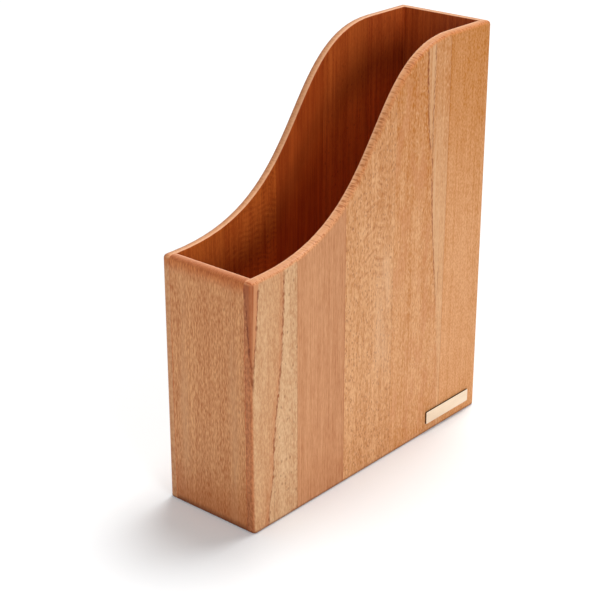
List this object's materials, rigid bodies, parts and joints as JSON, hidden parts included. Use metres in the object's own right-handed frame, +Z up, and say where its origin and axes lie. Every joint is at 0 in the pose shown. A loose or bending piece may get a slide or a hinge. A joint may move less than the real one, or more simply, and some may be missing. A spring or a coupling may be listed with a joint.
{
  "type": "magazine file",
  "caption": "Upright open-topped wooden magazine file with swept side walls, a low front and a bare metal label plate; stands on a desk or shelf and holds magazines and papers.",
  "frame": {"origin": "middle of the underside, on the surface that the file stands on", "axes": "+Z up, +Y from the low front to the tall back, +X to the right side that carries the label plate"},
  "size_m": [0.0824, 0.26, 0.31],
  "materials": {
    "beech_pale": "oiled, satin",
    "beech_red": "oiled, satin",
    "beech_tan": "oiled, satin",
    "beech_orange": "oiled, satin",
    "beech_rose": "oiled, satin",
    "dowel_wood": "raw, fluted",
    "plate_metal": "brushed, bare",
    "adhesive_film": "adhesive film"
  },
  "bodies": {
    "root": {"right_side_stave_1": "beech_pale", "right_side_stave_2": "beech_red", "right_side_stave_3": "beech_tan", "right_side_stave_4": "beech_orange", "right_side_stave_5": "beech_rose", "left_side_stave_1": "beech_pale", "left_side_stave_2": "beech_orange", "left_side_stave_3": "beech_red", "left_side_stave_4": "beech_tan", "left_side_stave_5": "beech_rose", "front_board": "beech_orange", "back_board": "beech_red", "bottom_board": "beech_tan", "front_right_dowel_1": "dowel_wood", "front_right_dowel_2": "dowel_wood", "front_right_dowel_3": "dowel_wood", "front_left_dowel_1": "dowel_wood", "front_left_dowel_2": "dowel_wood", "front_left_dowel_3": "dowel_wood", "back_right_dowel_1": "dowel_wood", "back_right_dowel_2": "dowel_wood", "back_right_dowel_3": "dowel_wood", "back_right_dowel_4": "dowel_wood", "back_right_dowel_5": "dowel_wood", "back_left_dowel_1": "dowel_wood", "back_left_dowel_2": "dowel_wood", "back_left_dowel_3": "dowel_wood", "back_left_dowel_4": "dowel_wood", "back_left_dowel_5": "dowel_wood", "bottom_right_dowel_1": "dowel_wood", "bottom_right_dowel_2": "dowel_wood", "bottom_right_dowel_3": "dowel_wood", "bottom_left_dowel_1": "dowel_wood", "bottom_left_dowel_2": "dowel_wood", "bottom_left_dowel_3": "dowel_wood", "bottom_front_dowel": "dowel_wood", "bottom_back_dowel": "dowel_wood", "label_plate": "plate_metal", "plate_adhesive": "adhesive_film"}
  },
  "joints": []
}
